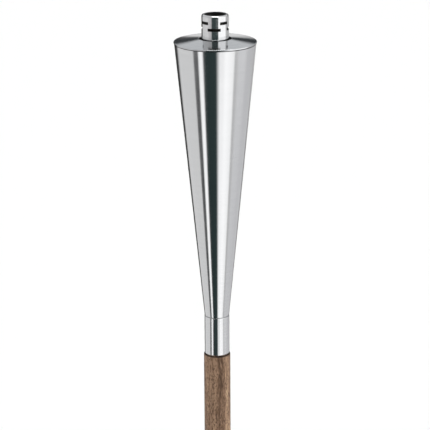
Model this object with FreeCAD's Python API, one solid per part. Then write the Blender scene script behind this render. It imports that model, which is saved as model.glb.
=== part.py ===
import FreeCAD, Part
import os
from math import hypot

# Garden oil torch: a slender steel cone on a round hardwood pole with a ground spike.
# Millimetres, +Z up. The origin is on the torch's axis where the spike enters the soil.
# Every piece is turned about that axis except the slots and the two cross screws.

# Ground spike and foot
spike_dia = 12.0
spike_length = 190.0
spike_point = 34.0
spike_stub_dia = 8.0
ferrule_depth = 42.0
ferrule_wall = 1.2
ferrule_floor = 3.0
ferrule_screw_dia = 3.5
ferrule_screw_length = 14.0
ferrule_screw_height = 30.0

# Wooden pole, in two sections screwed together
pole_dia = 30.0
lower_pole_length = 430.0
upper_pole_length = 430.0
stud_dia = 12.0
stud_in_wood = 34.0
stud_engagement = 21.0
washer_thickness = 1.5
washer_inset = 1.5
insert_wall = 3.0
insert_length = 25.0

# Steel collar at the pole's top, and the spigot that the head is lowered onto
collar_step = 1.0
collar_length = 44.7
collar_wall = 1.2
collar_plate = 2.0
spigot_height = 60.0
spigot_wall = 3.2
spigot_floor = 4.0
screw_dia = 5.0
screw_length = 42.0
screw_head_dia = 10.0
screw_head_height = 3.2

# Cone
cone_height = 311.1
cone_top_dia = 88.8
cone_inset = 0.2
cone_wall = 0.8
socket_wall = 0.8
bulkhead_thickness = 1.2
rim_ring_thickness = 1.5
rim_ring_width = 5.5

# Lid disc, neck and oil tank, which lift out as one
lid_overhang = 0.6
lid_thickness = 1.2
lid_crown = 3.6
lid_lip = 1.4
lid_hole_lip = 2.6
lid_seal_thickness = 1.0
neck_height = 15.0
neck_wall = 1.0
tank_height = 124.0
tank_wall = 0.6
tank_plate = 0.8
tank_seam = 3.2

# Burner, wick and slotted sleeve
sleeve_dia = 29.6
sleeve_wall = 0.8
sleeve_rise = 30.0
sleeve_mouth_dia = 24.0
sleeve_edge_round = 2.4
sleeve_lip_round = 0.3
slots_per_row = 4
upper_slot_arc = 39.0
lower_slot_arc = 57.0
slot_height = 3.2
upper_slot_rise = 21.9
lower_slot_rise = 15.0
burner_flange = 4.0
burner_flange_land = 1.4
burner_seal_thickness = 0.8
burner_spigot = 6.0
burner_plug_depth = 12.0
burner_plug_wall = 2.5
wick_dia = 13.0
wick_tube_wall = 1.0
wick_tube_rise = 19.5
wick_tube_drop = 4.0
wick_rise = 24.0
wick_end_gap = 7.0

# Clearances, all radial unless they are a gap along the axis
glue_fit = 0.05
turning_fit = 0.05
lift_fit = 0.1
free_gap = 0.3
collar_shadow_gap = 1.2
cone_seam_gap = 0.8
lid_seal_inset = 0.6
lid_hole_gap = 2.95
burner_gap = 0.45
tank_gap = 1.1
neck_flange_gap = 3.2

# Radii that follow from the sizes above
pole_r = pole_dia / 2
stud_r = stud_dia / 2
collar_r = pole_r - collar_step
screw_r = screw_dia / 2
cone_base_r = collar_r - cone_inset
cone_top_r = cone_top_dia / 2
sleeve_r = sleeve_dia / 2
lid_r = cone_top_r + lid_overhang
lid_hole_r = sleeve_r + lid_hole_gap
burner_flange_r = lid_hole_r - burner_gap
tank_mouth_r = burner_flange_r - burner_flange_land
wick_tube_bore = wick_dia / 2 + lift_fit
wick_tube_r = wick_tube_bore + wick_tube_wall
ferrule_r = pole_r + glue_fit + ferrule_wall

# Heights along the axis, from the soil up
ferrule_top = ferrule_floor + ferrule_depth
pole_joint = ferrule_floor + lower_pole_length
upper_pole_base = pole_joint + washer_thickness
pole_shoulder = upper_pole_base + upper_pole_length
collar_base = pole_shoulder + collar_shadow_gap
collar_top = collar_base + collar_length
tenon_top = collar_top - collar_plate
cone_base = collar_top + cone_seam_gap
cone_top = cone_base + cone_height
lid_top = cone_top + lid_seal_thickness + lid_thickness
tank_deck = lid_top - lid_thickness - neck_height
tank_base = tank_deck - tank_height
burner_seat = tank_deck + burner_seal_thickness
sleeve_base = burner_seat + burner_flange
sleeve_top = lid_top + sleeve_rise


def cone_radius(height):
    """Outer radius of the cone at a height."""
    share = (height - cone_base) / cone_height
    return cone_base_r + (cone_top_r - cone_base_r) * share


def cone_bore(height):
    """Inner radius of the cone at a height."""
    return cone_radius(height) - cone_wall


socket_r = cone_bore(cone_base) - glue_fit
socket_bore = socket_r - socket_wall
spigot_r = socket_bore - turning_fit
spigot_top = collar_top + spigot_height
bulkhead_base = spigot_top - bulkhead_thickness
tank_r = cone_bore(tank_base) - tank_gap
seam_bore = tank_r - tank_wall - lift_fit - tank_plate


def lid_underside(radius):
    """Height of the lid's underside, which rises in a shallow cone from the rim to the hole."""
    share = (lid_r - radius) / (lid_r - lid_hole_r)
    return lid_top + lid_crown * share - lid_thickness


def corner(before, point, after, size):
    """Start, middle and end of the arc of radius size that rounds a corner."""
    to_before = [b - p for b, p in zip(before, point)]
    to_after = [a - p for a, p in zip(after, point)]
    one = [v / hypot(*to_before) for v in to_before]
    two = [v / hypot(*to_after) for v in to_after]
    cosine = one[0] * two[0] + one[1] * two[1]
    half_sine = ((1 - cosine) / 2) ** 0.5
    half_cosine = ((1 + cosine) / 2) ** 0.5
    reach = size * half_cosine / half_sine
    bisector = [u + v for u, v in zip(one, two)]
    middle_reach = (size / half_sine - size) / hypot(*bisector)
    start = [p + u * reach for p, u in zip(point, one)]
    middle = [p + b * middle_reach for p, b in zip(point, bisector)]
    end = [p + u * reach for p, u in zip(point, two)]
    return start, middle, end


def turned(points):
    """Solid turned about Z from (radius, height) points; a third number rounds that corner."""
    def place(pair):
        return FreeCAD.Vector(pair[0], 0, pair[1])

    edges = []
    ends = []
    for index, point in enumerate(points):
        if len(point) == 2:
            ends.append((point, point))
            continue
        before = points[index - 1][:2]
        after = points[(index + 1) % len(points)][:2]
        start, middle, end = corner(before, point[:2], after, point[2])
        edges.append(Part.Arc(place(start), place(middle), place(end)).toShape())
        ends.append((start, end))
    for index, (start, _) in enumerate(ends):
        last_end = ends[index - 1][1]
        edges.append(Part.makeLine(place(last_end), place(start)))
    outline = Part.Wire(Part.__sortEdges__(edges))
    return Part.Face(outline).revolve(FreeCAD.Vector(0, 0, 0), FreeCAD.Vector(0, 0, 1), 360)


def rod(radius, base, top):
    """Plain cylinder on the axis."""
    return Part.makeCylinder(radius, top - base, FreeCAD.Vector(0, 0, base))


def around_axis(shape, angles):
    """One compound of the shape turned about Z to each angle in degrees."""
    copies = []
    for angle in angles:
        copy = shape.copy()
        copy.rotate(FreeCAD.Vector(0, 0, 0), FreeCAD.Vector(0, 0, 1), angle)
        copies.append(copy)
    return Part.makeCompound(copies)


def ground_spike():
    """Round bar with a long point, riveted into the ferrule's floor."""
    bar_r = spike_dia / 2
    stub_r = spike_stub_dia / 2
    tip_r = 1.0
    return turned([
        (0, -spike_length),
        (tip_r, -spike_length),
        (bar_r, spike_point - spike_length),
        (bar_r, 0),
        (stub_r, 0),
        (stub_r, ferrule_floor),
        (0, ferrule_floor),
    ])


def cross_screw_holes(radius):
    """Cutter for the two holes across the foot."""
    reach = ferrule_r + ferrule_wall
    start = FreeCAD.Vector(-reach, 0, ferrule_screw_height)
    return Part.makeCylinder(radius, 2 * reach, start, FreeCAD.Vector(1, 0, 0))


def foot_ferrule():
    """Steel cup over the pole's lower end."""
    bore = pole_r + glue_fit
    stub_hole = spike_stub_dia / 2 + glue_fit
    cup = turned([
        (stub_hole, 0),
        (ferrule_r, 0, 1.5),
        (ferrule_r, ferrule_top, 0.5),
        (bore, ferrule_top),
        (bore, ferrule_floor),
        (stub_hole, ferrule_floor),
    ])
    return cup.cut(cross_screw_holes(ferrule_screw_dia / 2 + glue_fit))


def ferrule_screws():
    """Two cross-recessed pan-head screws, one on each side of the ferrule."""
    head_r = ferrule_screw_dia
    head_height = ferrule_screw_dia * 0.6
    shank_r = ferrule_screw_dia / 2
    screw = turned([
        (0, -ferrule_screw_length),
        (shank_r, shank_r * 2 - ferrule_screw_length),
        (shank_r, 0),
        (head_r, 0),
        (head_r, head_height, head_height * 0.7),
        (0, head_height),
    ])
    recess_width = ferrule_screw_dia * 0.25
    recess_depth = head_height * 0.6
    for length, width in ((head_r, recess_width), (recess_width, head_r)):
        start = FreeCAD.Vector(-length / 2, -width / 2, head_height - recess_depth)
        screw = screw.cut(Part.makeBox(length, width, head_height, start))
    screw.rotate(FreeCAD.Vector(0, 0, 0), FreeCAD.Vector(0, 1, 0), 90)
    screw.translate(FreeCAD.Vector(ferrule_r, 0, ferrule_screw_height))
    return around_axis(screw, (0, 180))


def lower_pole():
    """Pole section between the foot and the joint, bored for the stud and the foot's screws."""
    edge = 1.0
    pole = turned([
        (0, ferrule_floor),
        (pole_r - edge, ferrule_floor),
        (pole_r, ferrule_floor + edge),
        (pole_r, pole_joint, edge),
        (0, pole_joint),
    ])
    spare_depth = 1.0
    stud_hole = rod(stud_r + glue_fit, pole_joint - stud_in_wood - spare_depth, pole_joint)
    pole = pole.cut(stud_hole)
    reach = ferrule_screw_length - ferrule_wall
    hole_r = ferrule_screw_dia / 2 + glue_fit
    start = FreeCAD.Vector(pole_r - reach, 0, ferrule_screw_height)
    hole = Part.makeCylinder(hole_r, reach + 1, start, FreeCAD.Vector(1, 0, 0))
    return pole.cut(around_axis(hole, (0, 180)))


def joint_stud():
    """Threaded rod glued into the lower section, drawn at its outer diameter."""
    lead = 1.0
    low = pole_joint - stud_in_wood
    high = upper_pole_base + stud_engagement
    return turned([
        (0, low),
        (stud_r - lead, low),
        (stud_r, low + lead),
        (stud_r, high - lead),
        (stud_r - lead, high),
        (0, high),
    ])


def joint_washer():
    """Flat washer between the two sections."""
    bore = stud_r + free_gap
    return turned([
        (bore, pole_joint),
        (pole_r - washer_inset, pole_joint),
        (pole_r - washer_inset, upper_pole_base),
        (bore, upper_pole_base),
    ])


def pole_insert():
    """Internally threaded bush in the upper section's lower end."""
    outer = stud_r + insert_wall
    bore = stud_r + turning_fit
    top = upper_pole_base + insert_length
    return turned([
        (bore, upper_pole_base),
        (outer, upper_pole_base),
        (outer, top),
        (bore, top),
    ])


def upper_pole():
    """Pole section up to the collar, with a turned tenon inside it."""
    edge = 1.0
    shoulder_round = 1.4
    tenon_r = collar_r - collar_wall - glue_fit
    pole = turned([
        (0, upper_pole_base),
        (pole_r, upper_pole_base, edge),
        (pole_r, pole_shoulder, min(shoulder_round, (pole_r - tenon_r) * 0.6)),
        (tenon_r, pole_shoulder),
        (tenon_r, tenon_top),
        (0, tenon_top),
    ])
    bush_r = stud_r + insert_wall + glue_fit
    pole = pole.cut(rod(bush_r, upper_pole_base, upper_pole_base + insert_length))
    stud_run = max(insert_length, stud_engagement) + 3.0
    pole = pole.cut(rod(stud_r + free_gap, upper_pole_base, upper_pole_base + stud_run))
    pilot_depth = screw_length - spigot_floor - collar_plate
    return pole.cut(rod(screw_r + glue_fit, tenon_top - pilot_depth, tenon_top))


def pole_collar():
    """Drawn steel cup over the tenon."""
    bore = collar_r - collar_wall
    hole = screw_r + glue_fit
    return turned([
        (bore, collar_base),
        (collar_r, collar_base, 0.4),
        (collar_r, collar_top, 0.3),
        (hole, collar_top),
        (hole, tenon_top),
        (bore, tenon_top),
    ])


def head_spigot():
    """Turned spigot on the collar that guides and holds the cone."""
    lead = 1.5
    bore = spigot_r - spigot_wall
    hole = screw_r + glue_fit
    floor = collar_top + spigot_floor
    return turned([
        (hole, collar_top),
        (spigot_r, collar_top),
        (spigot_r, spigot_top - lead),
        (spigot_r - lead, spigot_top),
        (bore, spigot_top),
        (bore, floor),
        (hole, floor),
    ])


def spigot_screw():
    """Wood screw down through the spigot and the collar into the tenon."""
    seat = collar_top + spigot_floor
    head_r = screw_head_dia / 2
    tip = seat - screw_length
    screw = turned([
        (0, tip),
        (screw_r, tip + screw_dia * 1.5),
        (screw_r, seat),
        (head_r, seat),
        (head_r, seat + screw_head_height, screw_head_height * 0.6),
        (0, seat + screw_head_height),
    ])
    recess_width = screw_dia * 0.25
    recess_base = seat + screw_head_height * 0.4
    for length, width in ((head_r, recess_width), (recess_width, head_r)):
        start = FreeCAD.Vector(-length / 2, -width / 2, recess_base)
        screw = screw.cut(Part.makeBox(length, width, screw_head_height, start))
    return screw


def cone_shell():
    """Thin straight cone, open at both ends."""
    return turned([
        (cone_bore(cone_base), cone_base),
        (cone_radius(cone_base), cone_base),
        (cone_radius(cone_top), cone_top),
        (cone_bore(cone_top), cone_top),
    ])


def base_socket():
    """Tube in the cone's foot that slips over the spigot, with a bulkhead at its top."""
    bulkhead_r = cone_bore(bulkhead_base) - glue_fit
    return turned([
        (socket_bore, collar_top),
        (socket_r, collar_top),
        (socket_r, bulkhead_base),
        (bulkhead_r, bulkhead_base),
        (bulkhead_r, spigot_top),
        (socket_bore, spigot_top),
    ])


def rim_ring():
    """Flat ledge ring welded inside the cone's mouth, which the lid rests on."""
    low = cone_top - rim_ring_thickness
    outer = cone_bore(low) - glue_fit
    return turned([
        (outer - rim_ring_width, low),
        (outer, low),
        (outer, cone_top),
        (outer - rim_ring_width, cone_top),
    ])


def lid_seal():
    """Heat-proof ring on the lid's underside."""
    outer = lid_r - lid_thickness - lid_seal_inset
    inner = cone_bore(cone_top) - rim_ring_width + lid_seal_inset
    return turned([
        (inner, cone_top),
        (outer, cone_top),
        (outer, lid_underside(outer)),
        (inner, lid_underside(inner)),
    ])


def top_disc():
    """Lid pressed to a shallow cone, with a turned-down rim and hole edge."""
    rim_low = lid_top - lid_lip
    rim_inner = lid_r - lid_thickness
    crest = lid_top + lid_crown
    hole_outer = lid_hole_r + lid_thickness
    return turned([
        (lid_hole_r, crest - lid_hole_lip),
        (lid_hole_r, crest, 0.5),
        (lid_r, lid_top, 0.6),
        (lid_r, rim_low, 0.3),
        (rim_inner, rim_low),
        (rim_inner, lid_underside(rim_inner)),
        (hole_outer, lid_underside(hole_outer)),
        (hole_outer, crest - lid_hole_lip),
    ])


def neck_spool():
    """Flanged tube that hangs the tank under the lid; its flanges end short of the seam."""
    bore = lid_hole_r + lid_thickness + lift_fit
    outer = bore + neck_wall
    flange = seam_bore - neck_flange_gap
    return turned([
        (bore, tank_deck),
        (flange, tank_deck),
        (flange, tank_deck + neck_wall),
        (outer, tank_deck + neck_wall),
        (outer, lid_underside(outer) - neck_wall),
        (flange, lid_underside(flange) - neck_wall),
        (flange, lid_underside(flange)),
        (bore, lid_underside(bore)),
    ])


def tank_cover():
    """Tank's top plate, folded over the can's edge in a seam."""
    inner_wall = seam_bore + tank_plate
    outer_wall = tank_r + lift_fit
    seam_low = tank_deck
    seam_high = tank_deck + tank_seam + lift_fit
    low = tank_deck - tank_plate
    return turned([
        (tank_mouth_r, low),
        (inner_wall, low),
        (inner_wall, seam_high),
        (outer_wall, seam_high),
        (outer_wall, seam_low),
        (outer_wall + tank_plate, seam_low),
        (outer_wall + tank_plate, seam_high + tank_plate, tank_plate * 0.8),
        (seam_bore, seam_high + tank_plate),
        (seam_bore, tank_deck),
        (tank_mouth_r, tank_deck),
    ])


def oil_tank():
    """Deep drawn can for the lamp oil."""
    floor_round = 3.0
    bore = tank_r - tank_wall
    floor = tank_base + tank_wall
    high = tank_deck + tank_seam
    return turned([
        (0, tank_base),
        (tank_r, tank_base, floor_round),
        (tank_r, high),
        (bore, high),
        (bore, floor, floor_round - tank_wall),
        (0, floor),
    ])


def burner_plug():
    """Turned plug that closes the tank, carries the wick tube and locates the sleeve."""
    body_r = tank_mouth_r - lift_fit
    body_low = tank_deck - burner_plug_depth
    spigot = sleeve_r - sleeve_wall - lift_fit
    spigot_high = sleeve_base + burner_spigot
    bore = wick_tube_r + glue_fit
    hollow = body_r - burner_plug_wall
    return turned([
        (hollow, body_low),
        (body_r, body_low, 0.8),
        (body_r, burner_seat),
        (burner_flange_r, burner_seat),
        (burner_flange_r, sleeve_base, 0.5),
        (spigot, sleeve_base),
        (spigot, spigot_high, 1.0),
        (bore, spigot_high),
        (bore, burner_seat),
        (hollow, burner_seat),
    ])


def plug_seal():
    """Flat ring between the plug's flange and the tank's cover."""
    return turned([
        (tank_mouth_r + glue_fit, tank_deck),
        (burner_flange_r - free_gap, tank_deck),
        (burner_flange_r - free_gap, burner_seat),
        (tank_mouth_r + glue_fit, burner_seat),
    ])


def wick_tube():
    """Steel tube that holds the wick upright in the plug."""
    low = tank_deck - burner_plug_depth - wick_tube_drop
    high = lid_top + wick_tube_rise
    return turned([
        (wick_tube_bore, low),
        (wick_tube_r, low),
        (wick_tube_r, high),
        (wick_tube_bore, high),
    ])


def wick():
    """Glass-fibre wick, drawn as a plain round rope."""
    low = tank_base + tank_wall + wick_end_gap
    wick_r = wick_dia / 2
    return turned([
        (0, low),
        (wick_r, low, 0.8),
        (wick_r, lid_top + wick_rise, 1.5),
        (0, lid_top + wick_rise),
    ])


def slot_row(rise, arc, first_angle):
    """Cutter for one row of slots round the sleeve, each as wide as arc in degrees."""
    low = lid_top + rise - slot_height / 2
    high = low + slot_height
    inside = sleeve_r - sleeve_wall * 2
    outside = sleeve_r + sleeve_wall
    corners = ((inside, low), (outside, low), (outside, high), (inside, high), (inside, low))
    section = Part.Face(Part.makePolygon([FreeCAD.Vector(r, 0, z) for r, z in corners]))
    cutter = section.revolve(FreeCAD.Vector(0, 0, 0), FreeCAD.Vector(0, 0, 1), arc)
    spacing = 360 / slots_per_row
    start = first_angle - arc / 2
    return around_axis(cutter, [start + turn * spacing for turn in range(slots_per_row)])


def burner_sleeve():
    """Wind sleeve with a rounded, inward-turned mouth and two staggered rows of slots."""
    bore = sleeve_r - sleeve_wall
    mouth_r = sleeve_mouth_dia / 2
    inner_round = sleeve_edge_round - sleeve_wall
    sleeve = turned([
        (bore, sleeve_base),
        (sleeve_r, sleeve_base),
        (sleeve_r, sleeve_top, sleeve_edge_round),
        (mouth_r, sleeve_top, sleeve_lip_round),
        (mouth_r, sleeve_top - sleeve_wall),
        (bore, sleeve_top - sleeve_wall, inner_round),
    ])
    sleeve = sleeve.cut(slot_row(lower_slot_rise, lower_slot_arc, 0))
    return sleeve.cut(slot_row(upper_slot_rise, upper_slot_arc, 180 / slots_per_row))


pieces = (
    ground_spike,
    foot_ferrule,
    ferrule_screws,
    lower_pole,
    joint_stud,
    joint_washer,
    upper_pole,
    pole_insert,
    pole_collar,
    head_spigot,
    spigot_screw,
    cone_shell,
    base_socket,
    rim_ring,
    top_disc,
    lid_seal,
    neck_spool,
    tank_cover,
    oil_tank,
    burner_plug,
    plug_seal,
    wick_tube,
    wick,
    burner_sleeve,
)

os.makedirs("parts", exist_ok=True)
for piece in pieces:
    shape = piece()
    solids = shape.Solids
    valid = shape.isValid()
    volume = shape.Volume / 1000
    print(f"{piece.__name__:16} solids {len(solids)} valid {valid} {volume:8.2f} cm3")
    shape.exportStep(f"parts/{piece.__name__}.step")
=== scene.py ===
from math import ceil, cos, pi, radians, sin

import bpy
from mathutils import Matrix, Vector


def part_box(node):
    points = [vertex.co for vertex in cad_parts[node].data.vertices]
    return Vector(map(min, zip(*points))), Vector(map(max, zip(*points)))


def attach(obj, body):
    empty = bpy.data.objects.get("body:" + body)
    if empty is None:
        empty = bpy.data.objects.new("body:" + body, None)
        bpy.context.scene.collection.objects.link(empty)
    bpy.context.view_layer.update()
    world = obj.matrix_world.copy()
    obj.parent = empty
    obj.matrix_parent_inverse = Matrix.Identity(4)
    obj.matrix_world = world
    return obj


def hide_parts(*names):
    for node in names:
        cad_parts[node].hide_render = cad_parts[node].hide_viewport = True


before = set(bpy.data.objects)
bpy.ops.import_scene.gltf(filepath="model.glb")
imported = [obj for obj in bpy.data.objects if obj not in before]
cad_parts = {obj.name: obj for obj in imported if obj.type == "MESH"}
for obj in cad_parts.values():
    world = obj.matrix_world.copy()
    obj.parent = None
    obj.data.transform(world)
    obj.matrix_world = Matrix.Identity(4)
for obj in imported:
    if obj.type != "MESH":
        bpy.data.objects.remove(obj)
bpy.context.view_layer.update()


# Ground spike. Round stainless bar with a turned point, pushed into the lawn. Its stub goes
# through the ferrule's floor and a small weld runs round the joint. The bar is satin from a
# belt finish.

MM = 0.001
weld_size = 2.0 * MM
weld_ripples = 30
weld_ripple = 0.08
scratches_per_mm = 1.6
smear_size = 35 * MM


def linear(hex_colour):
    """Linear RGBA of an sRGB colour written as RRGGBB."""
    shares = [int(hex_colour[i:i + 2], 16) / 255 for i in (0, 2, 4)]
    curve = [s / 12.92 if s <= 0.04045 else ((s + 0.055) / 1.055) ** 2.4 for s in shares]
    return (*curve, 1.0)


def add_node(tree, kind, inputs=None, **settings):
    """Adds a shader node; inputs gives each socket a value or another node's output."""
    node = tree.nodes.new("ShaderNode" + kind)
    for name, value in settings.items():
        setattr(node, name, value)
    for socket, value in (inputs or {}).items():
        if isinstance(value, bpy.types.NodeSocket):
            tree.links.new(value, node.inputs[socket])
        else:
            node.inputs[socket].default_value = value
    return node


def new_finish(name):
    """Material with an empty tree."""
    finish = bpy.data.materials.new(name)
    finish.use_nodes = True
    finish.node_tree.nodes.clear()
    return finish


def put_on(finish, *nodes):
    """Gives CAD nodes a finish."""
    for node in nodes:
        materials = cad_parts[node].data.materials
        materials.clear()
        materials.append(finish)


def ring_marks(tree, across_radius, lines_per_mm, marks_per_turn):
    """Noise drawn out into rings round the axis, as turning and brushing leave; 0 to 1."""
    place = add_node(tree, "TexCoord").outputs["Object"]
    parts = add_node(tree, "SeparateXYZ", {"Vector": place})
    flat = add_node(tree, "VectorMath", {0: place, 1: (1, 1, 0)}, operation="MULTIPLY")
    radius = add_node(tree, "VectorMath", {0: flat.outputs[0]}, operation="LENGTH")
    around = add_node(tree, "VectorMath", {0: flat.outputs[0]}, operation="NORMALIZE")
    turn_scale = marks_per_turn / (2 * pi)
    around = add_node(tree, "VectorMath", {0: around.outputs[0], "Scale": turn_scale},
                      operation="SCALE")
    across = radius.outputs["Value"] if across_radius else parts.outputs["Z"]
    lines = add_node(tree, "Math", {0: across, 1: lines_per_mm / MM}, operation="MULTIPLY")
    lift = add_node(tree, "CombineXYZ", {"Z": lines.outputs[0]})
    spot = add_node(tree, "VectorMath", {0: around.outputs[0], 1: lift.outputs[0]},
                    operation="ADD")
    noise = add_node(tree, "TexNoise", {"Vector": spot.outputs[0], "Scale": 1.0,
                                        "Detail": 3.0, "Roughness": 0.6})
    return noise.outputs["Fac"]


def brushed_steel(name, light, dark, roughness, across_radius=False):
    """Stainless steel brushed round its axis: long soft glints along the axis, fine rings."""
    finish = new_finish(name)
    tree = finish.node_tree
    # Real scratches are about 0.05 mm apart; these are drawn about ten times coarser to show.
    marks = ring_marks(tree, across_radius, scratches_per_mm, marks_per_turn=7.0)
    place = add_node(tree, "TexCoord").outputs["Object"]
    smears = add_node(tree, "TexNoise", {"Vector": place, "Scale": 1 / smear_size,
                                         "Detail": 2.0})
    tint = add_node(tree, "ValToRGB", {"Fac": marks})
    tint.color_ramp.elements[0].position = 0.3
    tint.color_ramp.elements[0].color = linear(dark)
    tint.color_ramp.elements[1].position = 0.7
    tint.color_ramp.elements[1].color = linear(light)
    worn = add_node(tree, "MapRange", {"Value": smears.outputs["Fac"], "To Min": -0.02,
                                       "To Max": 0.03})
    gloss = add_node(tree, "MapRange", {"Value": marks, "To Min": roughness - 0.03,
                                        "To Max": roughness + 0.03})
    gloss = add_node(tree, "Math", {0: gloss.outputs["Result"], 1: worn.outputs["Result"]},
                     operation="ADD")
    relief = add_node(tree, "Bump", {"Height": marks, "Strength": 0.25,
                                     "Distance": 0.004 * MM})
    grain = add_node(tree, "Tangent", direction_type="RADIAL", axis="Z")
    shader = add_node(tree, "BsdfPrincipled", {
        "Base Color": tint.outputs["Color"],
        "Metallic": 1.0,
        "Roughness": gloss.outputs[0],
        "Anisotropic": 0.85,
        "Anisotropic Rotation": 0.25,
        "Tangent": grain.outputs["Tangent"],
        "Normal": relief.outputs["Normal"],
    })
    add_node(tree, "OutputMaterial", {"Surface": shader.outputs["BSDF"]})
    return finish


put_on(brushed_steel("spike_satin_steel", "C4C6C8", "A6A8AA", 0.34), "ground_spike")


def new_piece(name, points, faces):
    """Object with a mesh of its own, placed in the scene."""
    mesh = bpy.data.meshes.new(name)
    mesh.from_pydata(points, [], faces)
    piece = bpy.data.objects.new(name, mesh)
    bpy.context.scene.collection.objects.link(piece)
    return piece


def weld_ring(name, height, radius):
    """Rippled weld bead round the axis, with its flat top against the ferrule's floor."""
    steps, sides = 96, 10
    points = []
    for step in range(steps):
        angle = 2 * pi * step / steps
        bulge = weld_size * (1 + weld_ripple * sin(weld_ripples * angle))
        for side in range(sides):
            lean = pi / 2 * side / (sides - 1)
            reach = radius + bulge * cos(lean)
            points.append((reach * cos(angle), reach * sin(angle), height - bulge * sin(lean)))
        inner = radius - 0.3 * weld_size
        points.append((inner * cos(angle), inner * sin(angle), height - weld_size * 0.5))
    ring = sides + 1
    faces = []
    for step in range(steps):
        here, there = step * ring, (step + 1) % steps * ring
        for side in range(ring):
            after = (side + 1) % ring
            faces.append((here + side, here + after, there + after, there + side))
    bead = new_piece(name, points, faces)
    bead.data.shade_smooth()
    return bead


spike_low, spike_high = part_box("ground_spike")
weld = weld_ring("spike_weld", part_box("foot_ferrule")[0].z, spike_high.x)
weld.data.materials.append(brushed_steel("weld_steel", "9A9590", "6E6A68", 0.42))
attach(weld, "foot")


# Foot ferrule and its two cross screws. A drawn steel cup keeps the pole's end out of wet
# soil; bright zinc-plated pan-head screws go through it into the wood.

put_on(brushed_steel("ferrule_brushed_steel", "D2D3D4", "BDBFC0", 0.24), "foot_ferrule")


def plated_steel(name, colour, roughness):
    """Zinc-plated steel: bright and slightly cloudy, with no grain."""
    finish = new_finish(name)
    tree = finish.node_tree
    place = add_node(tree, "TexCoord").outputs["Object"]
    cloud = add_node(tree, "TexNoise", {"Vector": place, "Scale": 1 / (1.2 * MM),
                                        "Detail": 4.0})
    tint = add_node(tree, "MixRGB", {"Fac": cloud.outputs["Fac"], "Color1": linear(colour),
                                     "Color2": linear("8E9192")})
    gloss = add_node(tree, "MapRange", {"Value": cloud.outputs["Fac"],
                                        "To Min": roughness - 0.06,
                                        "To Max": roughness + 0.08})
    shader = add_node(tree, "BsdfPrincipled", {
        "Base Color": tint.outputs["Color"],
        "Metallic": 1.0,
        "Roughness": gloss.outputs["Result"],
    })
    add_node(tree, "OutputMaterial", {"Surface": shader.outputs["BSDF"]})
    return finish


screw_finish = plated_steel("zinc_plated_screws", "D0D3D6", 0.26)
put_on(screw_finish, "ferrule_screws")


# Wooden pole in two sections. Round bars of an oiled reddish-brown hardwood, turned down to a
# tenon at the top. The grain runs along the pole in uneven streaks, with short dark pores.

# Each part of the grain has a width across the pole and a length along it. Real pores are
# about 0.2 mm wide; these are drawn five times as wide so they show.
growth_bands = (9 * MM, 500 * MM)
grain_streaks = (3.2 * MM, 110 * MM)
wood_fibres = (1.3 * MM, 7 * MM)
wood_pores = (1.0 * MM, 3.4 * MM)
grain_sway = 9 * MM
sway_length = 60 * MM
wood_tones = ((0.22, "594230"), (0.36, "80624B"), (0.47, "96775F"), (0.58, "A38369"),
              (0.68, "B29073"), (0.80, "D5B692"))


def drawn_noise(tree, place, width, length, detail):
    """Noise drawn out along the grain to a width and a length in metres; 0 to 1."""
    size = add_node(tree, "VectorMath", {0: place, 1: (1 / width, 1 / width, 1 / length)},
                    operation="MULTIPLY")
    noise = add_node(tree, "TexNoise", {"Vector": size.outputs[0], "Scale": 1.0,
                                        "Detail": detail, "Roughness": 0.6})
    return noise.outputs["Fac"]


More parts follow.
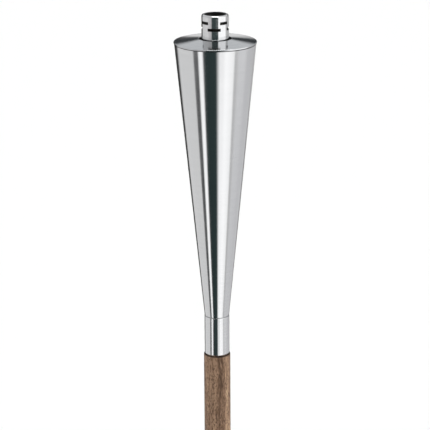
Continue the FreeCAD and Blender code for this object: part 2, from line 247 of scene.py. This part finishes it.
def pole_wood(name, shift):
    """Oiled hardwood; shift moves the grain so that the two sections differ."""
    finish = new_finish(name)
    tree = finish.node_tree
    coordinates = add_node(tree, "TexCoord")
    place = add_node(tree, "VectorMath", {0: coordinates.outputs["Object"], 1: shift},
                     operation="ADD").outputs[0]
    sway = add_node(tree, "TexNoise", {"Vector": place, "Scale": 1 / sway_length})
    sway = add_node(tree, "VectorMath", {0: sway.outputs["Color"], "Scale": grain_sway},
                    operation="SCALE")
    place = add_node(tree, "VectorMath", {0: place, 1: sway.outputs[0]},
                     operation="ADD").outputs[0]
    bands = drawn_noise(tree, place, *growth_bands, detail=1.0)
    streaks = drawn_noise(tree, place, *grain_streaks, detail=2.0)
    fibres = drawn_noise(tree, place, *wood_fibres, detail=4.0)
    pores = drawn_noise(tree, place, *wood_pores, detail=1.0)
    mixed = add_node(tree, "Math", {0: streaks, 1: 0.9, 2: bands},
                     operation="MULTIPLY_ADD")
    mixed = add_node(tree, "Math", {0: fibres, 1: 0.8, 2: mixed.outputs[0]},
                     operation="MULTIPLY_ADD")
    mixed = add_node(tree, "MapRange", {"Value": mixed.outputs[0], "From Min": 0.85,
                                        "From Max": 1.85})
    tone = add_node(tree, "ValToRGB", {"Fac": mixed.outputs["Result"]})
    stops = tone.color_ramp.elements
    for stop, (position, colour) in zip(stops, (wood_tones[0], wood_tones[-1])):
        stop.position = position
        stop.color = linear(colour)
    for position, colour in wood_tones[1:-1]:
        stops.new(position).color = linear(colour)
    open_pores = add_node(tree, "MapRange", {"Value": pores, "From Min": 0.36,
                                             "From Max": 0.47})
    colour = add_node(tree, "MixRGB", {"Fac": open_pores.outputs["Result"],
                                       "Color1": linear("604A3A"),
                                       "Color2": tone.outputs["Color"]})
    # End grain soaks up more oil and is darker. This darkening of faces that point up or down is
    # also painted shade, standing in for the collar's shadow on the turned shoulder.
    upward = add_node(tree, "SeparateXYZ", {"Vector": coordinates.outputs["Normal"]})
    end_grain_and_painted_shade = add_node(tree, "Math", {0: upward.outputs["Z"]}, operation="ABSOLUTE")
    end_grain_and_painted_shade = add_node(tree, "MapRange", {"Value": end_grain_and_painted_shade.outputs[0],
                                            "From Min": 0.1, "From Max": 0.6,
                                            "To Max": 0.86})
    colour = add_node(tree, "MixRGB", {"Fac": end_grain_and_painted_shade.outputs["Result"],
                                       "Color1": colour.outputs["Color"],
                                       "Color2": linear("241A14")})
    gloss = add_node(tree, "MapRange", {"Value": fibres, "To Min": 0.72, "To Max": 0.52})
    depth = add_node(tree, "Math", {0: fibres, 1: open_pores.outputs["Result"]},
                     operation="MULTIPLY")
    relief = add_node(tree, "Bump", {"Height": depth.outputs[0], "Strength": 0.6,
                                     "Distance": 0.2 * MM})
    shader = add_node(tree, "BsdfPrincipled", {
        "Base Color": colour.outputs["Color"],
        "Roughness": gloss.outputs["Result"],
        "IOR": 1.5,
        "Specular IOR Level": 0.3,
        "Normal": relief.outputs["Normal"],
    })
    add_node(tree, "OutputMaterial", {"Surface": shader.outputs["BSDF"]})
    return finish


put_on(pole_wood("lower_pole_hardwood", (0.031, 0.017, 0.4)), "lower_pole")
put_on(pole_wood("upper_pole_hardwood", (0.013, 0.004, 0.21)), "upper_pole")


# Pole joint. A zinc-plated threaded stud glued into the lower section screws into a brass
# bush in the upper one, and a flat steel washer between them takes the clamping force.

stud_low, stud_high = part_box("joint_stud")
stud_radius = stud_high.x
thread_pitch = 1.75 * MM
thread_depth = 0.95 * MM
thread_flank = 2.4
thread_root = 0.5
thread_steps = 12
stud_columns = 48
end_chamfer = 1.0 * MM
lathe_rings_per_mm = 3.0
lathe_ring_depth = 0.01 * MM


def relief_rod(name, low, high, step, columns, radius_at):
    """Closed rod on the axis whose radius comes from radius_at(angle, height), in metres."""
    rows = max(2, ceil((high - low) / step))
    heights = [low + (high - low) * row / rows for row in range(rows + 1)]
    angles = [2 * pi * column / columns for column in range(columns)]
    points = []
    for height in heights:
        for angle in angles:
            radius = radius_at(angle, height)
            points.append((radius * cos(angle), radius * sin(angle), height))
    faces = []
    for row in range(rows):
        for column in range(columns):
            right = (column + 1) % columns
            base, above = row * columns, (row + 1) * columns
            faces.append((base + column, base + right, above + right, above + column))
    faces.append(tuple(reversed(range(columns))))
    faces.append(tuple(rows * columns + column for column in range(columns)))
    rod = new_piece(name, points, faces)
    for polygon in rod.data.polygons[:-2]:
        polygon.use_smooth = True
    return rod


def thread_radius(angle, height):
    """Right-hand thread with flat crests and roots, fading out at the chamfered ends."""
    phase = (height / thread_pitch - angle / (2 * pi)) % 1
    ridge = min(1.0, max(0.0, thread_flank * abs(2 * phase - 1) - thread_root))
    end_room = min(height - stud_low.z, stud_high.z - height)
    chamfer = max(0.0, end_chamfer - end_room)
    return min(stud_radius - thread_depth * (1 - ridge), stud_radius - chamfer)


stud = relief_rod("threaded_stud", stud_low.z, stud_high.z, thread_pitch / thread_steps,
                  stud_columns, thread_radius)
stud.data.materials.append(plated_steel("zinc_plated_stud", "C6C8C6", 0.3))
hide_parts("joint_stud")
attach(stud, "foot")
put_on(brushed_steel("washer_steel", "BFC0C0", "A0A2A2", 0.36, across_radius=True),
       "joint_washer")


def turned_metal(name, light, dark, roughness):
    """Bar metal straight from the lathe: fine tool rings and slightly uneven tarnish."""
    finish = new_finish(name)
    tree = finish.node_tree
    marks = ring_marks(tree, False, lathe_rings_per_mm, marks_per_turn=2.0)
    place = add_node(tree, "TexCoord").outputs["Object"]
    tarnish = add_node(tree, "TexNoise", {"Vector": place, "Scale": 1 / (6 * MM),
                                          "Detail": 5.0, "Roughness": 0.6})
    tint = add_node(tree, "MixRGB", {"Fac": tarnish.outputs["Fac"],
                                     "Color1": linear(light), "Color2": linear(dark)})
    gloss = add_node(tree, "MapRange", {"Value": tarnish.outputs["Fac"],
                                        "To Min": roughness - 0.08,
                                        "To Max": roughness + 0.12})
    relief = add_node(tree, "Bump", {"Height": marks, "Strength": 0.4,
                                     "Distance": lathe_ring_depth})
    shader = add_node(tree, "BsdfPrincipled", {
        "Base Color": tint.outputs["Color"],
        "Metallic": 1.0,
        "Roughness": gloss.outputs["Result"],
        "Normal": relief.outputs["Normal"],
    })
    add_node(tree, "OutputMaterial", {"Surface": shader.outputs["BSDF"]})
    return finish


put_on(turned_metal("turned_brass_bush", "D9B765", "A98742", 0.28), "pole_insert")


# Collar and spigot. A drawn stainless cup covers the pole's tenon. A black-anodised aluminium
# spigot stands on it, held by one wood screw down the middle, and steadies the cone.

put_on(brushed_steel("collar_brushed_steel", "DBDBDC", "D4D5D6", 0.15), "pole_collar")


def anodised_aluminium(name, colour):
    """Black-anodised turned aluminium: dark and satin, with the lathe's rings under the film."""
    finish = new_finish(name)
    tree = finish.node_tree
    marks = ring_marks(tree, False, lathe_rings_per_mm, marks_per_turn=2.0)
    tint = add_node(tree, "MixRGB", {"Fac": marks, "Color1": linear(colour),
                                     "Color2": linear("2B2C2E")})
    gloss = add_node(tree, "MapRange", {"Value": marks, "To Min": 0.4, "To Max": 0.55})
    relief = add_node(tree, "Bump", {"Height": marks, "Strength": 0.4,
                                     "Distance": lathe_ring_depth})
    shader = add_node(tree, "BsdfPrincipled", {
        "Base Color": tint.outputs["Color"],
        "Roughness": gloss.outputs["Result"],
        "IOR": 1.6,
        "Normal": relief.outputs["Normal"],
    })
    add_node(tree, "OutputMaterial", {"Surface": shader.outputs["BSDF"]})
    return finish


# The spigot is black so that the seam between the collar and the cone shows dark: this is
# painted shade in that gap.
put_on(anodised_aluminium("black_aluminium_painted_seam_shade", "161718"), "head_spigot")
put_on(screw_finish, "spigot_screw")


# Cone. Thin stainless sheet rolled and spun into a straight taper, brushed round its axis and
# fairly bright, with a socket tube in its foot and a ledge ring in its mouth.

put_on(brushed_steel("cone_brushed_steel", "DBDBDC", "D4D5D6", 0.15), "cone_shell")


def mill_steel(name, light, dark, roughness):
    """Plain sheet steel as it leaves the mill: grey, cloudy, no brushing."""
    finish = new_finish(name)
    tree = finish.node_tree
    place = add_node(tree, "TexCoord").outputs["Object"]
    cloud = add_node(tree, "TexNoise", {"Vector": place, "Scale": 1 / (9 * MM),
                                        "Detail": 6.0, "Roughness": 0.65})
    specks = add_node(tree, "TexNoise", {"Vector": place, "Scale": 1 / (0.6 * MM),
                                         "Detail": 2.0})
    tint = add_node(tree, "MixRGB", {"Fac": cloud.outputs["Fac"],
                                     "Color1": linear(light), "Color2": linear(dark)})
    gloss = add_node(tree, "MapRange", {"Value": specks.outputs["Fac"],
                                        "To Min": roughness - 0.05,
                                        "To Max": roughness + 0.1})
    relief = add_node(tree, "Bump", {"Height": specks.outputs["Fac"], "Strength": 0.2,
                                     "Distance": 0.01 * MM})
    shader = add_node(tree, "BsdfPrincipled", {
        "Base Color": tint.outputs["Color"],
        "Metallic": 1.0,
        "Roughness": gloss.outputs["Result"],
        "Normal": relief.outputs["Normal"],
    })
    add_node(tree, "OutputMaterial", {"Surface": shader.outputs["BSDF"]})
    return finish


inner_finish = mill_steel("mill_finish_steel", "B4B6B8", "8F9193", 0.4)
put_on(inner_finish, "base_socket", "rim_ring")


# Lid, its seal and the tank that hangs under it. The lid is pressed from stainless sheet to a
# very shallow cone with a turned-down rim, and brushed in circles; the tank is a tinned can
# with a seamed cover.

put_on(brushed_steel("lid_circular_brushed_steel", "D0D1D2", "C2C4C6", 0.1,
                     across_radius=True), "top_disc")
put_on(inner_finish, "neck_spool")
put_on(mill_steel("tinned_steel", "C2C3C1", "A3A4A1", 0.3), "tank_cover", "oil_tank")


def silicone(name, colour):
    """Black heat-proof silicone: matt, faintly dusty."""
    finish = new_finish(name)
    tree = finish.node_tree
    place = add_node(tree, "TexCoord").outputs["Object"]
    dust = add_node(tree, "TexNoise", {"Vector": place, "Scale": 1 / (2.5 * MM),
                                       "Detail": 5.0})
    tint = add_node(tree, "MixRGB", {"Fac": dust.outputs["Fac"], "Color1": linear(colour),
                                     "Color2": linear("2A2A2C")})
    relief = add_node(tree, "Bump", {"Height": dust.outputs["Fac"], "Strength": 0.15,
                                     "Distance": 0.02 * MM})
    shader = add_node(tree, "BsdfPrincipled", {
        "Base Color": tint.outputs["Color"],
        "Roughness": 0.68,
        "IOR": 1.42,
        "Normal": relief.outputs["Normal"],
    })
    add_node(tree, "OutputMaterial", {"Surface": shader.outputs["BSDF"]})
    return finish


put_on(silicone("black_silicone", "111113"), "lid_seal", "plug_seal")


# Burner plug and wick tube. The plug is turned brass, browned by heat, and drops into the
# tank's mouth; a plain steel tube through it holds the wick upright.

put_on(turned_metal("turned_brass_plug", "B8924C", "6E5430", 0.34), "burner_plug")
put_on(mill_steel("heat_darkened_steel", "7A746E", "4A4642", 0.42), "wick_tube")


# Wick. A round braid of glass fibre, eight yarns each way, ivory where it is clean and
# charred black for the last few millimetres at the top.

wick_low, wick_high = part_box("wick")
wick_radius = wick_high.x
yarns_each_way = 8
braid_rise = 26 * MM
braid_relief = 0.55 * MM
braid_step = 0.42 * MM
braid_columns = 96
end_tuck = 1.6 * MM
char_fray = 8 * MM
charred_from = wick_high.z - 8 * MM
charred_to = wick_high.z + 1 * MM


def braid_radius(angle, height):
    """Over-and-under relief of two sets of helical yarns, tucked in at both ends."""
    rise = height / braid_rise
    right = yarns_each_way * (angle / (2 * pi) + rise)
    left = yarns_each_way * (angle / (2 * pi) - rise)
    over = right if (right // 1 + left // 1) % 2 else left
    crown = max(0.0, sin(pi * (over % 1))) ** 0.6
    end_room = min(height - wick_low.z, wick_high.z - height)
    tuck = max(0.0, end_tuck - end_room)
    return wick_radius - braid_relief * (1 - crown) - tuck * tuck / (2 * end_tuck)


braid = relief_rod("braided_wick", wick_low.z, wick_high.z, braid_step, braid_columns,
                   braid_radius)


def glass_fibre(name):
    """Glass-fibre yarn: ivory with fine threads, going black over a ragged charred length."""
    finish = new_finish(name)
    tree = finish.node_tree
    place = add_node(tree, "TexCoord").outputs["Object"]
    parts = add_node(tree, "SeparateXYZ", {"Vector": place})
    threads = add_node(tree, "TexNoise", {"Vector": place, "Scale": 1 / (0.35 * MM),
                                          "Detail": 2.0})
    fuzz = add_node(tree, "TexNoise", {"Vector": place, "Scale": 1 / (3 * MM),
                                       "Detail": 4.0})
    clean = add_node(tree, "MixRGB", {"Fac": threads.outputs["Fac"],
                                      "Color1": linear("EFE9DA"),
                                      "Color2": linear("C9BFA8")})
    ragged = add_node(tree, "Math", {0: fuzz.outputs["Fac"], 1: char_fray,
                                     2: parts.outputs["Z"]}, operation="MULTIPLY_ADD")
    burnt = add_node(tree, "MapRange", {"Value": ragged.outputs[0],
                                        "From Min": charred_from, "From Max": charred_to})
    tint = add_node(tree, "MixRGB", {"Fac": burnt.outputs["Result"],
                                     "Color1": clean.outputs["Color"],
                                     "Color2": linear("1A1715")})
    relief = add_node(tree, "Bump", {"Height": threads.outputs["Fac"], "Strength": 0.5,
                                     "Distance": 0.08 * MM})
    shader = add_node(tree, "BsdfPrincipled", {
        "Base Color": tint.outputs["Color"],
        "Roughness": 0.85,
        "Sheen Weight": 0.2,
        "Normal": relief.outputs["Normal"],
    })
    add_node(tree, "OutputMaterial", {"Surface": shader.outputs["BSDF"]})
    return finish


braid.data.materials.append(glass_fibre("glass_fibre_braid"))
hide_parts("wick")
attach(braid, "wick")


# Burner sleeve. Drawn stainless tube with a rounded, rolled-in mouth and two rows of slots
# that feed air to the flame. Bright brushed outside; matt black inside, as soot and as painted
# shade.

sleeve_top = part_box("burner_sleeve")[1].z
rolled_mouth = 2.6 * MM


def steel_with_soot_and_painted_shade(name):
    """Brushed steel where the tube faces out or up; dark matt soot in the bore and on the slots'
    edges, which is also painted shade.
    """
    finish = brushed_steel(name, "DBDBDC", "D4D5D6", 0.1)
    tree = finish.node_tree
    shader = next(node for node in tree.nodes if node.type == "BSDF_PRINCIPLED")
    coordinates = add_node(tree, "TexCoord")
    place = coordinates.outputs["Object"]
    facing = coordinates.outputs["Normal"]
    flat = add_node(tree, "VectorMath", {0: place, 1: (1, 1, 0)}, operation="MULTIPLY")
    outward = add_node(tree, "VectorMath", {0: flat.outputs[0]}, operation="NORMALIZE")
    outward = add_node(tree, "VectorMath", {0: outward.outputs[0], 1: facing},
                       operation="DOT_PRODUCT")
    height = add_node(tree, "SeparateXYZ", {"Vector": place}).outputs["Z"]
    near_top = add_node(tree, "Math", {0: height, 1: sleeve_top - rolled_mouth},
                        operation="GREATER_THAN")
    upward = add_node(tree, "SeparateXYZ", {"Vector": facing}).outputs["Z"]
    upward = add_node(tree, "Math", {0: upward, 1: near_top.outputs[0]}, operation="MULTIPLY")
    seen = add_node(tree, "Math", {0: outward.outputs["Value"], 1: upward.outputs[0]},
                    operation="MAXIMUM")
    # Faces that point neither out nor up at the mouth get the dark colour: soot, and painted
    # shade inside the tube.
    bright = add_node(tree, "Math", {0: seen.outputs[0], 1: 0.3}, operation="GREATER_THAN")
    flakes = add_node(tree, "TexNoise", {"Vector": place, "Scale": 1 / (1.5 * MM),
                                         "Detail": 5.0})
    soot_and_painted_shade = add_node(tree, "MixRGB", {"Fac": flakes.outputs["Fac"],
                                     "Color1": linear("1C1C1C"),
                                     "Color2": linear("383736")})
    tint = add_node(tree, "MixRGB", {
        "Fac": bright.outputs[0], "Color1": soot_and_painted_shade.outputs["Color"],
        "Color2": shader.inputs["Base Color"].links[0].from_socket})
    gloss = add_node(tree, "MapRange", {
        "Value": bright.outputs[0], "To Min": 0.6,
        "To Max": shader.inputs["Roughness"].links[0].from_socket})
    tree.links.new(tint.outputs["Color"], shader.inputs["Base Color"])
    tree.links.new(gloss.outputs["Result"], shader.inputs["Roughness"])
    tree.links.new(bright.outputs[0], shader.inputs["Metallic"])
    return finish


put_on(steel_with_soot_and_painted_shade("sleeve_brushed_steel"), "burner_sleeve")


# Floor. A plain pale matt sheet at the height of the spike's point, so the whole torch stands
# clear on it. It is kept out of the steel's reflections.

floor_height = spike_low.z
floor_half = 30.0
corners = [(-floor_half, -floor_half), (floor_half, -floor_half),
           (floor_half, floor_half), (-floor_half, floor_half)]
floor = new_piece("floor", [(x, y, floor_height) for x, y in corners], [(0, 1, 2, 3)])
paint = new_finish("pale_floor")
matt = add_node(paint.node_tree, "BsdfPrincipled", {
    "Base Color": linear("FAFAF9"), "Roughness": 0.9, "Specular IOR Level": 0.1})
add_node(paint.node_tree, "OutputMaterial", {"Surface": matt.outputs["BSDF"]})
floor.data.materials.append(paint)
floor.visible_glossy = False


# Backdrop. A round pale wall far behind the floor, as pale as it. Only the camera sees it, so
# it neither blocks the light nor shows in the steel.

wall_radius = 29.0
wall_rise = 24.0
wall_sides = 96
wall_points = []
for height in (floor_height, floor_height + wall_rise):
    for side in range(wall_sides):
        angle = 2 * pi * side / wall_sides
        wall_points.append((wall_radius * cos(angle), wall_radius * sin(angle), height))
wall_faces = []
for side in range(wall_sides):
    after = (side + 1) % wall_sides
    wall_faces.append((side, after, wall_sides + after, wall_sides + side))
wall = new_piece("backdrop", wall_points, wall_faces)
glow = new_finish("pale_backdrop")
lit = add_node(glow.node_tree, "Emission", {"Color": linear("FDFDFC")})
add_node(glow.node_tree, "OutputMaterial", {"Surface": lit.outputs["Emission"]})
wall.data.materials.append(glow)
wall.visible_diffuse = False
wall.visible_glossy = False
wall.visible_shadow = False


# Studio light. A white tent round the torch with dark cards standing in it, as for polished
# metal: the cards and the gaps between the lamps make the long stripes down the steel. Angles
# run from the camera's side, positive to its right, and each level of the tent has its own.

# A height is the sine of the angle above the horizon. Each pair is the soft edge, from its
# start to its end, between what is under it or in front and what is over it or behind.
low_to_middle = (-0.31, -0.27)
middle_to_upper = (0.26, 0.33)
upper_to_overhead = (0.94, 0.98)
over_far_gap = (-0.12, -0.04)
over_far_card = (0.11, 0.16)
front_to_far_side = (radians(110), radians(135))
card_to_gap = (radians(176.9), radians(177.9))
camera_turn = radians(5.0)
low_cards = (
    (-180, "3A3A3A"), (-145, "3A3A3A"), (-138, "CCCCCC"), (-69, "CACACA"),
    (-66, "4A4A4A"), (-53, "3E4041"), (-50, "FFFFFF"), (-39, "FFFFFF"),
    (-35, "252F2F"), (2, "293535"), (13, "FBFBFB"), (35, "FFFFFF"),
    (57, "F0F0F0"), (60, "ACACAC"), (68, "B4B4B4"), (74, "C2C2C4"),
    (146, "BABABC"), (151, "808080"), (180, "606060"),
)
middle_cards = (
    (-180, "383838"), (-137, "383838"), (-127, "C4C4C4"), (-64, "CECECE"),
    (-52, "BCBABB"), (-33, "ACAAAB"), (-27, "3A4242"), (23, "384141"),
    (29, "FFFFFF"), (92, "FFFFFF"), (106, "B0B0B0"), (180, "A8A8A8"),
)
upper_cards = (
    (-180, "BCBEC0"), (-75, "B8B8B8"), (-60, "B0B0B0"), (-33, "A8A8A8"),
    (-27, "3C4444"), (23, "3A4242"), (30, "FFFFFF"), (100, "FFFFFF"),
    (115, "B8B8B8"), (180, "BCBEC0"),
)
tent_strength = 1.4
overhead_strength = 5.0


def tent_level(tree, azimuth, cards):
    """Light from one level of the tent: a colour for each angle, in cards."""
    share = add_node(tree, "MapRange", {"Value": azimuth, "From Min": -pi, "From Max": pi})
    around = add_node(tree, "ValToRGB", {"Fac": share.outputs["Result"]})
    stops = around.color_ramp.elements
    for angle, colour in cards[1:-1]:
        stops.new((angle + 180) / 360).color = linear(colour)
    stops[0].color = linear(cards[0][1])
    stops[-1].color = linear(cards[-1][1])
    return add_node(tree, "Background", {"Color": around.outputs["Color"],
                                         "Strength": tent_strength}).outputs["Background"]


def soft_edge(tree, value, edge, under, over):
    """Light that changes from under to over as value crosses an edge."""
    share = add_node(tree, "MapRange", {"Value": value, "From Min": edge[0],
                                        "From Max": edge[1]})
    return add_node(tree, "MixShader", {0: share.outputs["Result"], 1: under,
                                        2: over}).outputs[0]


tent = bpy.data.worlds.new("light_tent")
bpy.context.scene.world = tent
tent.use_nodes = True
tree = tent.node_tree
tree.nodes.clear()
toward = add_node(tree, "SeparateXYZ", {
    "Vector": add_node(tree, "TexCoord").outputs["Generated"]})
height = toward.outputs["Z"]
behind = add_node(tree, "Math", {0: toward.outputs["Y"], 1: -1.0}, operation="MULTIPLY")
azimuth = add_node(tree, "Math", {0: toward.outputs["X"], 1: behind.outputs[0]},
                   operation="ARCTAN2")
azimuth = add_node(tree, "Math", {0: azimuth.outputs[0], 1: -camera_turn}, operation="ADD")
azimuth = add_node(tree, "Math", {0: azimuth.outputs[0], 1: -pi, 2: pi}, operation="WRAP")
low, middle, upper = (tent_level(tree, azimuth.outputs[0], cards)
                      for cards in (low_cards, middle_cards, upper_cards))
overhead, far_card, far_gap = (
    add_node(tree, "Background", {"Color": linear(colour), "Strength": strength}).outputs[0]
    for colour, strength in (("FFFFFF", overhead_strength), ("2C3032", tent_strength),
                             ("C6C6C6", tent_strength)))
turned_away = add_node(tree, "Math", {0: azimuth.outputs[0]}, operation="ABSOLUTE").outputs[0]
sides = soft_edge(tree, height, low_to_middle, low, middle)
card = soft_edge(tree, height, over_far_card, sides, far_card)
gap = soft_edge(tree, height, over_far_gap, sides, far_gap)
far_side = soft_edge(tree, turned_away, card_to_gap, card, gap)
sides = soft_edge(tree, turned_away, front_to_far_side, sides, far_side)
sides = soft_edge(tree, height, middle_to_upper, sides, upper)
light = soft_edge(tree, height, upper_to_overhead, sides, overhead)
add_node(tree, "OutputWorld", {"Surface": light})


# Camera. A long lens about two metres off and well above the lid, looking down on the cone. It
# is turned five degrees off the front, and is a hair off level.

camera_distance = 1.956
camera_above_lid = 0.4244
camera_tilt = radians(17.7)
camera_roll = radians(-0.36)
camera_aside = radians(0.043)
focal_length = 155.0
sensor = 36.0

camera_data = bpy.data.cameras.new("camera")
camera_data.sensor_width = sensor
camera_data.lens = focal_length
camera = bpy.data.objects.new("camera", camera_data)
bpy.context.scene.collection.objects.link(camera)
spot = Vector((sin(camera_turn) * camera_distance, -cos(camera_turn) * camera_distance,
               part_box("top_disc")[1].z + camera_above_lid))
aim = (Matrix.Rotation(camera_turn + camera_aside, 4, "Z")
       @ Matrix.Rotation(pi / 2 - camera_tilt, 4, "X") @ Matrix.Rotation(camera_roll, 4, "Z"))
camera.matrix_world = Matrix.Translation(spot) @ aim
bpy.context.scene.camera = camera
bpy.context.scene.view_settings.view_transform = "Standard"
